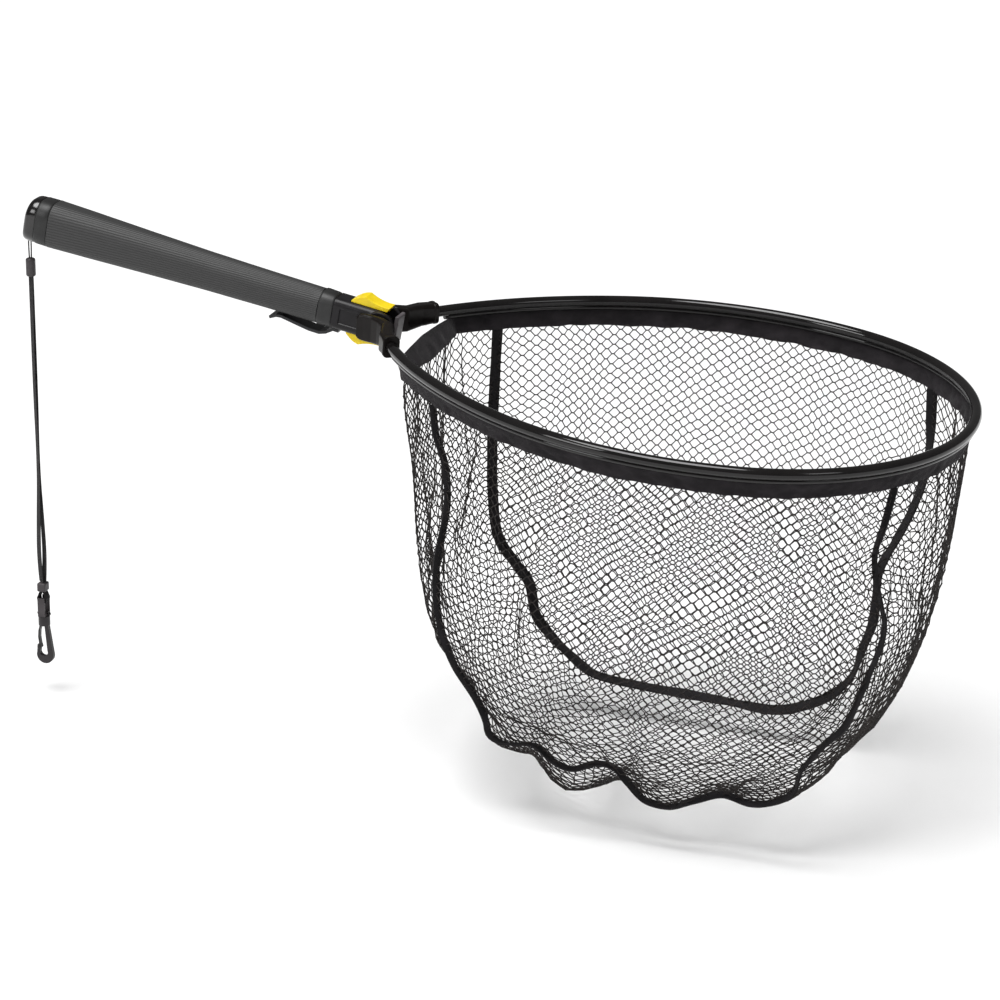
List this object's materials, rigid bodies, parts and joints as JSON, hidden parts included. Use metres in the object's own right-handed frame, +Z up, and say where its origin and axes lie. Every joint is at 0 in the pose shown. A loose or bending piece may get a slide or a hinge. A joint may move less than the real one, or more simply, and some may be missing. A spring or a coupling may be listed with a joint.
{
  "type": "landing net",
  "caption": "Folding landing net: tapered grip with belt clip, locking hinge, teardrop hoop, deep mesh bag and a lanyard with a snap hook.",
  "frame": {"origin": "middle of the grip, on the handle's axis", "axes": "+X from the handle to the tip of the hoop, +Z up as the net is held, +Y to the left; the handle slopes down 10.7 degrees and the hoop 3.8 degrees towards +X"},
  "size_m": [0.8979, 0.4246, 0.4615],
  "materials": {
    "grip": "soft-touch, satin, finely grooved",
    "collar": "smooth satin",
    "cap": "polished",
    "housing": "satin moulding",
    "plate": "satin moulding",
    "slider": "bright yellow, satin gloss",
    "clip": "satin",
    "steel": "bright",
    "tube": "mill finish",
    "rail": "gloss black anodised",
    "band": "woven nylon, crumpled",
    "tape": "woven tape",
    "netting": "knotless hexagonal mesh, rubber coated",
    "cord": "braided",
    "ribbon": "flat woven ribbon",
    "fitting": "satin",
    "hook": "satin",
    "dark": "satin"
  },
  "bodies": {
    "handle": {"handle_tube": "tube", "grip_sleeve": "grip", "rear_collar": "collar", "front_collar": "collar", "butt_cap": "cap", "tie_pin": "steel", "hinge_housing": "housing", "front_plate": "plate", "clip_screws": "steel", "lock_spring": "steel", "friction_washers": "dark"},
    "clip": {"belt_clip": "clip"},
    "lock": {"lock_tongue": "steel", "slider_pin": "steel", "slider_top": "slider", "slider_bottom": "slider"},
    "head": {"hub_drum": "steel", "hinge_axle": "steel", "arm_near": "housing", "arm_far": "housing", "socket_screws": "steel", "hoop_frame": "rail", "rim_bead": "cord", "rim_band": "band", "net_gusset": "netting", "net_side_near": "netting", "net_side_far": "netting", "seam_tape_near": "tape", "seam_tape_far": "tape"},
    "lanyard": {"lanyard_cord": "cord", "lanyard_barrel": "fitting", "ribbon_leg_front": "ribbon", "ribbon_leg_back": "ribbon", "lanyard_crimp": "fitting", "ribbon_eye": "ribbon", "swivel_yoke": "fitting", "swivel_pin": "dark"},
    "hook": {"snap_hook": "hook"},
    "gate": {"hook_gate": "dark"}
  },
  "joints": [
    {"name": "head_fold", "type": "hinge", "parent": "handle", "child": "head", "pos_m": [0.1921, 0, -0.0363], "axis": [0, -1, 0], "range_deg": [0, 173], "deforming": ["rim_band", "net_gusset", "net_side_near", "net_side_far", "seam_tape_near", "seam_tape_far"]},
    {"name": "lock_slide", "type": "slide", "parent": "handle", "child": "lock", "axis": [-0.9826, 0, 0.1857], "range_m": [0, 0.006], "stiffness_N_per_m": 500, "springref_m": -0.006, "deforming": ["lock_spring"]},
    {"name": "clip_flex", "type": "hinge", "parent": "handle", "child": "clip", "pos_m": [0.14981, 0, -0.04306], "axis": [0, -1, 0], "range_deg": [0, 7], "stiffness_Nm_per_rad": 1.5, "springref_deg": -2.86},
    {"name": "lanyard_swing", "type": "hinge", "parent": "handle", "child": "lanyard", "pos_m": [-0.1549, 0, 0.01237], "axis": [0, 1, 0], "range_deg": [-5, 100]},
    {"name": "hook_swivel", "type": "hinge", "parent": "lanyard", "child": "hook", "pos_m": [-0.1549, 0, -0.36763], "axis": [0, 0, 1], "continuous": true},
    {"name": "hook_gate", "type": "hinge", "parent": "hook", "child": "gate", "pos_m": [-0.1583, 0, -0.37453], "axis": [0, -1, 0], "range_deg": [0, 12], "stiffness_Nm_per_rad": 0.03, "springref_deg": -2.86}
  ]
}
